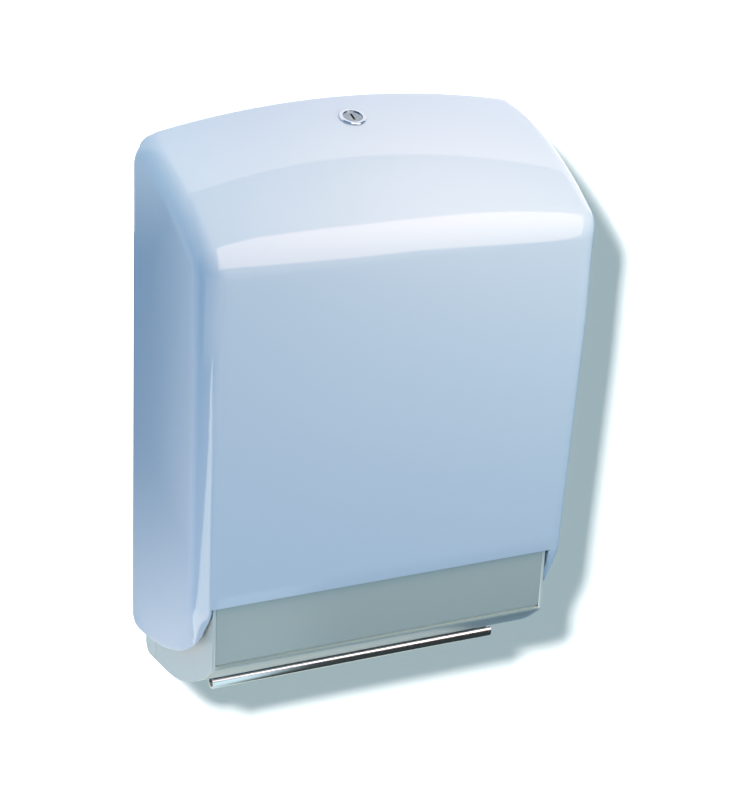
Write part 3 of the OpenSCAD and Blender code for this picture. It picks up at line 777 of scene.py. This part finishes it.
# The flat of the side is a net between the eave, the front corner and the wall's edge. The
# shoulder is the row where the eave turns down into the corner.
shoulder_step, even_rounds = 0.4, 400
rows = [hood_row(k) for k in range(len(stations))]
last = len(rows) - 1
edges = [row[-1] for row in rows]
shoulder = min(k for k in range(last) if edges[k + 1][1] - edges[k][1] < shoulder_step)
shares = [(edges[k][1] - hood_back) / (edges[shoulder][1] - hood_back)
          for k in range(shoulder + 1)]
corner_tabs = [corner_column(turn) for turn in turns[1:]]
side_tabs = [side_column(share) for share in shares[:-1]]
side_count = last - shoulder
flat = []
for j in range(side_count + 1):
    front_out, front_z = edges[shoulder + j][1:]
    back_z = edges[0][2] + (edges[last][2] - edges[0][2]) * j / side_count
    flat.append([Vector((hood_back + (front_out - hood_back) * share,
                         back_z + (front_z - back_z) * share)) for share in shares])
flat[0] = [Vector(edges[k][1:]) for k in range(shoulder + 1)]
for _ in range(even_rounds):
    for j in range(1, side_count):
        for i in range(1, shoulder):
            flat[j][i] = (flat[j - 1][i] + flat[j + 1][i] + flat[j][i - 1] + flat[j][i + 1]) / 4
side_rows = [[(half_width(*spot), *spot) for spot in line[:-1]] for line in flat[1:]]

skin = bmesh.new()


def skin_line(points, side):
    """New points of the skin on its right (1) or left (-1) half."""
    return [skin.verts.new(at(side * x, out, z)) for x, out, z in points]


middle = [skin.verts.new(at(*row[0])) for row in rows]
for side in (1, -1):
    main = [[middle[k]] + skin_line(row[1:], side) for k, row in enumerate(rows)]
    tabs = [skin_line(column, side) for column in corner_tabs]
    flank = [[line[-1] for line in main[:shoulder + 1]]]
    for j, line in enumerate(side_rows):
        flank.append(skin_line(line, side) + [main[shoulder + 1 + j][-1]])
    for k in range(tab_steps):
        flank.append(skin_line([column[k] for column in side_tabs], side) + [tabs[-1][k]])
    corner = [main[last][across_steps + 1:]]
    corner += [[column[k] for column in tabs] for k in range(tab_steps)]
    for patch in (main, corner, [line[::-1] for line in flank]):
        for upper, lower in zip(patch, patch[1:]):
            for c in range(len(upper) - 1):
                skin.faces.new((upper[c], lower[c], lower[c + 1], upper[c + 1]))
bmesh.ops.recalc_face_normals(skin, faces=skin.faces)
hood = in_scene("dressed_front_cover", mesh_of("hood", skin))
wall = hood.modifiers.new("wall", "SOLIDIFY")
wall.thickness = hood_wall * mm
wall.offset = -1.0
wall.use_even_offset = True
rim = hood.modifiers.new("rim", "BEVEL")
rim.width = 0.5 * mm
rim.segments = 3
rim.limit_method = "ANGLE"
rim.angle_limit = math.radians(50)
rim.use_clamp_overlap = False
settle(hood)


def rod(start, end, radius, sides):
    """A closed cylinder between two points, for joining to a piece or boring it."""
    shape = bmesh.new()
    axis = end - start
    turn = Vector((0, 0, 1)).rotation_difference(axis).to_matrix().to_4x4()
    bmesh.ops.create_cone(shape, cap_ends=True, segments=sides, radius1=radius, radius2=radius,
                          depth=axis.length, matrix=Matrix.Translation((start + end) / 2) @ turn)
    return in_scene("rod", mesh_of("rod", shape))


lock_seat = at(0.0, 30.390, 407.578)
lock_axis = Vector((0.0, -0.275315, 0.961354))
pivot_out, pivot_z = 12.5, 38.0


def lock_rod(low, high, radius):
    """A rod on the lock's axis, between two heights above its seat."""
    return rod(lock_seat + low * mm * lock_axis, lock_seat + high * mm * lock_axis,
               radius * mm, sides=64)


def pin_rod(side, inside, outside, radius):
    """A rod on the hinge's axis at one side, between two distances from the middle."""
    return rod(at(side * inside, pivot_out, pivot_z), at(side * outside, pivot_out, pivot_z),
               radius * mm, sides=48)


# A pad under the roof for the lock, a bored boss for each pin, and the lock's bore and seat.
work(hood, lock_rod(low=-6, high=-1, radius=13), "UNION")
for side in (-1, 1):
    work(hood, pin_rod(side, inside=138.2, outside=145.2, radius=8), "UNION")
    work(hood, pin_rod(side, inside=130.0, outside=146.1, radius=3.05), "DIFFERENCE")
work(hood, lock_rod(low=-9, high=9, radius=8.1), "DIFFERENCE")
work(hood, lock_rod(low=0, high=9, radius=9.6), "DIFFERENCE")
smooth(hood, crease=30)
cover_white = plastic("cover_white", (0.66, 0.74, 0.84), (0.645, 0.725, 0.83), drift_scale=6.0,
                      gloss=0.03, gloss_spread=0.015, ripple_depth=1e-6, ior=1.5)
hood.data.materials.clear()
hood.data.materials.append(cover_white)
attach(hood, "cover")
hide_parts("front_cover")


# Lock barrel.
# A chromed cam lock in the roof: a round bezel on top, the barrel through the skin, and a
# washer and hexagon nut below that hold it.

lock_chrome = metal("lock_chrome", (0.50, 0.57, 0.64), (0.44, 0.51, 0.58),
                    grain=(500, 500, 500), gloss=0.08, gloss_spread=0.08, grain_depth=3e-6)
lock_barrel = eased_copy("lock_barrel", "dressed_lock_barrel", lock_chrome, ease=0.0002)
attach(lock_barrel, "cover")
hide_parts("lock_barrel")
for node in ("lock_washer", "lock_nut"):
    part = eased_copy(node, "dressed_" + node, plated_steel, ease=0.0003)
    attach(part, "cover")
    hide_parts(node)


# Lock plug and cam.
# The part that the key turns, with brass wafers in its keyway, and the steel cam that it
# carries on a screw at its lower end.

wafer_brass = metal("wafer_brass", (0.62, 0.47, 0.20), (0.52, 0.39, 0.17),
                    grain=(700, 700, 700), gloss=0.22, gloss_spread=0.15, grain_depth=6e-6)
# Painted shade: the plug is a darker copy of the lock's chrome, so that it looks shaded in its
# recess in the bezel.
shaded_plug_chrome = metal("shaded_plug_chrome", (0.24, 0.29, 0.33), (0.19, 0.24, 0.28),
                    grain=(500, 500, 500), gloss=0.16, gloss_spread=0.08, grain_depth=3e-6)
for node, slot, coat in (("lock_plug", "lock_chrome", shaded_plug_chrome),
                         ("lock_wafers", "wafer_brass", wafer_brass),
                         ("lock_cam", "plated_steel", plated_steel),
                         ("cam_washer", "plated_steel", plated_steel),
                         ("cam_screw", "plated_steel", plated_steel)):
    part = eased_copy(node, "dressed_" + node, coat, ease=0.00015)
    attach(part, "lock_core")
    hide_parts(node)


# Camera.
# A long lens from the left and above, held slightly tilted.

def direction(azimuth, elevation):
    """The way from the dispenser to a place round it; 0, 0 is straight in front."""
    a, e = math.radians(azimuth), math.radians(elevation)
    return Vector((math.sin(a) * math.cos(e), -math.cos(a) * math.cos(e), math.sin(e)))


view_azimuth, view_elevation, view_roll = -25.65, 23.863, math.radians(2.659)
view_target, view_distance = Vector((0.037895, 0, -0.05228)), 1.774579
view_back = direction(view_azimuth, view_elevation)
level_right = direction(view_azimuth + 90, 0)
level_up = view_back.cross(level_right)
view_right = math.cos(view_roll) * level_right + math.sin(view_roll) * level_up
view_up = -math.sin(view_roll) * level_right + math.cos(view_roll) * level_up
view_spot = view_target + view_distance * view_back
lens = bpy.data.cameras.new("photo_view")
lens.lens = 107.678
lens.sensor_fit = "AUTO"
lens.sensor_width = 36.0
camera = in_scene("photo_view", lens)
view_turn = Matrix((view_right, view_up, view_back)).transposed().to_4x4()
camera.matrix_world = Matrix.Translation(view_spot) @ view_turn
bpy.context.scene.camera = camera


# Studio.
# A white wall well behind and a pale floor below. Cards that only the gloss sees stand round
# about, a curved scrim at the right front among them. A lamp lights dispenser, wall or floor alone.

def surface(name, low, high, material):
    """A sheet between two lines of points."""
    count = len(low)
    mesh = bpy.data.meshes.new(name)
    mesh.from_pydata(low + high, [],
                     [(k, k + 1, count + k + 1, count + k) for k in range(count - 1)])
    mesh.materials.append(material)
    thing = in_scene(name, mesh)
    return thing


def matt(name, colour):
    """A matt paint."""
    material = bpy.data.materials.new(name)
    material.use_nodes = True
    shader = material.node_tree.nodes["Principled BSDF"]
    shader.inputs["Base Color"].default_value = (*colour, 1)
    shader.inputs["Roughness"].default_value = 0.9
    return material


def for_camera_only(thing):
    """The sheet is seen, but the dispenser neither mirrors it nor takes light or shade from it."""
    thing.visible_glossy = False
    thing.visible_diffuse = False
    thing.visible_shadow = False


# The wall is clear from behind, so that the dispenser's back can be seen.
wall_paint = matt("wall_paint", (0.90, 0.90, 0.72))
tree = wall_paint.node_tree
clear = tree.nodes.new("ShaderNodeBsdfTransparent")
either = tree.nodes.new("ShaderNodeMixShader")
seen_side = tree.nodes.new("ShaderNodeNewGeometry")
wire(tree,
     (seen_side.outputs["Backfacing"], either.inputs[0]),
     (tree.nodes["Principled BSDF"].outputs[0], either.inputs[1]),
     (clear.outputs[0], either.inputs[2]),
     (either.outputs[0], tree.nodes["Material Output"].inputs["Surface"]))
reach, wall_y, floor_z, floor_gap = 4.0, 0.45, -1.1, 0.001
studio_wall = surface("studio_wall", [(-reach, wall_y, floor_z), (reach, wall_y, floor_z)],
                      [(-reach, wall_y, reach), (reach, wall_y, reach)], wall_paint)
for_camera_only(studio_wall)


def ground(name, height, material):
    """A level sheet that reaches all round."""
    return surface(name, [(-reach, -reach, height), (reach, -reach, height)],
                   [(-reach, reach, height), (reach, reach, height)], material)


ground("studio_floor", floor_z, matt("floor_paint", (0.6, 0.63, 0.65)))
floor_top = ground("studio_floor_top", floor_z + floor_gap, matt("pale_floor", (0.85, 0.85, 0.85)))
for_camera_only(floor_top)

world = bpy.data.worlds.new("studio")
bpy.context.scene.world = world
world.use_nodes = True
air = world.node_tree
glow_round = air.nodes["Background"]
glow_round.inputs["Color"].default_value = (0.31, 0.64, 1.0, 1)
glow_round.inputs["Strength"].default_value = 0.60
backdrop = grow(air, "ShaderNodeBackground", Color=(0.93, 0.95, 0.96, 1))
ray = air.nodes.new("ShaderNodeLightPath")
either = air.nodes.new("ShaderNodeMixShader")
wire(air,
     (ray.outputs["Is Camera Ray"], either.inputs[0]),
     (glow_round.outputs[0], either.inputs[1]),
     (backdrop.outputs[0], either.inputs[2]),
     (either.outputs[0], air.nodes["World Output"].inputs["Surface"]))
bpy.context.scene.view_settings.view_transform = "Standard"


def lights_only(thing, objects, state):
    """The lamp or card lights only these objects (INCLUDE), or all but these (EXCLUDE)."""
    receivers = bpy.data.collections.new(thing.name + "_receivers")
    thing.light_linking.receiver_collection = receivers
    for obj in objects:
        receivers.objects.link(obj)
    for entry in receivers.collection_objects:
        entry.light_linking.link_state = state


def lamp(name, power, colour, spot, target, size):
    """A square lamp at one place, turned to another."""
    light = bpy.data.lights.new(name, "AREA")
    light.shape = "SQUARE"
    light.size = size
    light.energy = power
    light.color = colour
    thing = in_scene(name, light)
    thing.location = spot
    thing.rotation_euler = (Vector(target) - Vector(spot)).to_track_quat("-Z", "Y").to_euler()
    thing.visible_camera = False
    return thing


def card(name, strength, colour, low, high, fades=()):
    """A glowing card that only the dispenser's gloss sees.

    Each fade gives an axis, where along it the card is dark, where it is full, and its share
    of the glow. The brightest fade counts."""
    material = bpy.data.materials.new(name)
    material.use_nodes = True
    tree = material.node_tree
    tree.nodes.remove(tree.nodes["Principled BSDF"])
    glow = grow(tree, "ShaderNodeEmission", Color=(*colour, 1), Strength=strength)
    tree.links.new(glow.outputs[0], tree.nodes["Material Output"].inputs["Surface"])
    if fades:
        place = tree.nodes.new("ShaderNodeTexCoord")
        parts = tree.nodes.new("ShaderNodeSeparateXYZ")
        tree.links.new(place.outputs["Object"], parts.inputs[0])
        level = None
        for axis, dark, full, share in fades:
            ramp = grow(tree, "ShaderNodeMapRange", interpolation_type="SMOOTHSTEP",
                        From_Min=dark, From_Max=full, To_Min=0.0, To_Max=share * strength)
            tree.links.new(parts.outputs[axis], ramp.inputs["Value"])
            if level is None:
                level = ramp.outputs[0]
            else:
                most = grow(tree, "ShaderNodeMath", operation="MAXIMUM")
                wire(tree, (level, most.inputs[0]), (ramp.outputs[0], most.inputs[1]))
                level = most.outputs[0]
        tree.links.new(level, glow.inputs["Strength"])
    thing = surface(name, low, high, material)
    thing.visible_camera = False
    thing.visible_shadow = False
    thing.visible_diffuse = False
    lights_only(thing, [studio_wall], "EXCLUDE")


beside_camera = Vector((-0.062, 0.062, 0.066))
wall_key = lamp("wall_key", 110, (1.0, 1.0, 1.25), view_spot + beside_camera, (0, -0.06, 0), 0.05)
wall_fill = lamp("wall_fill", 30, (1.0, 0.73, 0.65), (0, -3.0, 0.2), (0, 0, 0), 3.0)
wall_fill.data.use_shadow = False
for wall_lamp in (wall_key, wall_fill):
    lights_only(wall_lamp, [studio_wall], "INCLUDE")
floor_lamp = lamp("floor_lamp", 60, (1.0, 0.7, 0.4), (0, -1.0, 1.5), (0, -0.6, floor_z), 3.0)
lights_only(floor_lamp, [floor_top], "INCLUDE")
back_fill = lamp("back_fill", 12, (0.9, 0.97, 1.0), (0.2, 1.6, 0.5), (0, 0, 0), 1.5)
lights_only(back_fill, [studio_wall], "EXCLUDE")
for soft_lamp in (
        lamp("softbox", 2.5, (1.0, 0.94, 0.71), (0.36, -0.55, 0.28), (0, -0.08, 0), 0.70),
        lamp("top_lamp", 0.9, (1.0, 0.66, 0.40), (0.05, -0.28, 0.42), (0, -0.10, 0.10), 0.30),
        lamp("low_lamp", 0.94, (1.0, 0.89, 0.77), (-0.50, -0.25, -0.35), (-0.10, -0.06, -0.10),
             0.30),
        lamp("high_lamp", 0.045, (0.92, 1.0, 0.80), (-0.21, -0.06, 0.27), (-0.15, -0.05, 0.10),
             0.10)):
    soft_lamp.visible_glossy = False
    lights_only(soft_lamp, [studio_wall], "EXCLUDE")

# The scrim's edges follow the bright band that the brow mirrors.
scrim_low = [(-0.352, -0.864, 0.344), (0.083, -0.840, 0.417), (0.137, -0.842, 0.374),
             (0.165, -0.864, 0.279), (0.213, -0.873, 0.162), (0.280, -0.863, 0.065),
             (0.345, -0.852, 0.041), (0.409, -0.831, -0.035), (0.462, -0.806, -0.103),
             (0.494, -0.799, -0.108), (0.510, -0.817, -0.023), (0.562, -0.791, 0.237)]
scrim_high = [(0.040, -0.040, 0.907), (0.058, -0.050, 0.907), (0.077, -0.062, 0.906),
              (0.104, -0.072, 0.905), (0.172, -0.189, 0.892), (0.265, -0.324, 0.848),
              (0.357, -0.329, 0.825), (0.447, -0.296, 0.809), (0.520, -0.296, 0.784),
              (0.559, -0.334, 0.759), (0.565, -0.469, 0.697), (0.580, -0.661, 0.510)]
card("scrim", 4.0, (1.0, 0.75, 0.66), scrim_low, scrim_high)


def upright(x0, x1, z0, z1):
    """The lower and upper edge of a card that stands level with the dispenser's back."""
    card_y = 0.002
    return [(x0, card_y, z0), (x1, card_y, z0)], [(x0, card_y, z1), (x1, card_y, z1)]


card("roof_card", 1.6, (1.0, 0.93, 0.94), *upright(-0.15, 0.50, 0.10, 0.34))
card("side_card", 1.8, (0.97, 0.98, 0.98), *upright(-0.60, -0.149, -0.70, 0.34),
     fades=[("X", -0.155, -0.215, 0.55), ("Z", -0.05, -0.25, 0.6), ("Z", 0.07, 0.18, 0.55)])
card("low_card", 1.1, (0.92, 1.0, 0.92), *upright(-0.149, 0.15, -0.70, -0.12),
     fades=[("Z", -0.10, -0.25, 1.0)])
lip_scoop = [(-0.20, -0.195), (-0.20, -0.42), (-0.05, -0.48), (0.10, -0.45)]
scoop_left, scoop_right = -0.09, 0.35
card("lip_card", 1.35, (0.72, 0.94, 1.0), [(scoop_left, y, z) for y, z in lip_scoop],
     [(scoop_right, y, z) for y, z in lip_scoop],
     fades=[("X", 0.015, -0.05, 1.0), ("Z", 0.0, -0.1, 0.035)])

toe_middle, toe_r, toe_near, toe_foot = Vector((-0.138, -0.118, 0)), 0.70, 0.35, -1.09


def round_toe(radius, places):
    """Points round the hood's left toe, from turns in degrees and heights."""
    return [toe_middle + radius * direction(turn, 0) + Vector((0, 0, z)) for turn, z in places]


toe_left = [(-28, -0.28), (-33, -0.415), (-62, -0.53), (-98, -0.60), (-105, -0.85),
            (-105, toe_foot)]
toe_right = [(-25, -0.28), (-12, -0.415), (-10, -0.53), (-6, -0.60), (5, -0.85), (5, toe_foot)]
card("toe_card", 4.1, (1.0, 0.96, 0.80), round_toe(toe_r, toe_left), round_toe(toe_r, toe_right))
toe_ring = [(turn, toe_foot) for turn in (-105, -70, -35, 5)]
card("toe_floor", 4.0, (1.0, 0.85, 0.70), round_toe(toe_near, toe_ring),
     round_toe(toe_r, toe_ring))
corner_turns, corner_far, corner_low, corner_high = (-75, -55, -35, -15, 0), 0.75, -0.34, -0.05
card("corner_card", 1.3, (1.0, 0.95, 0.85),
     round_toe(corner_far, [(turn, corner_low) for turn in corner_turns]),
     round_toe(corner_far, [(turn, corner_high) for turn in corner_turns]),
     fades=[("Z", corner_low, -0.24, 1.0)])
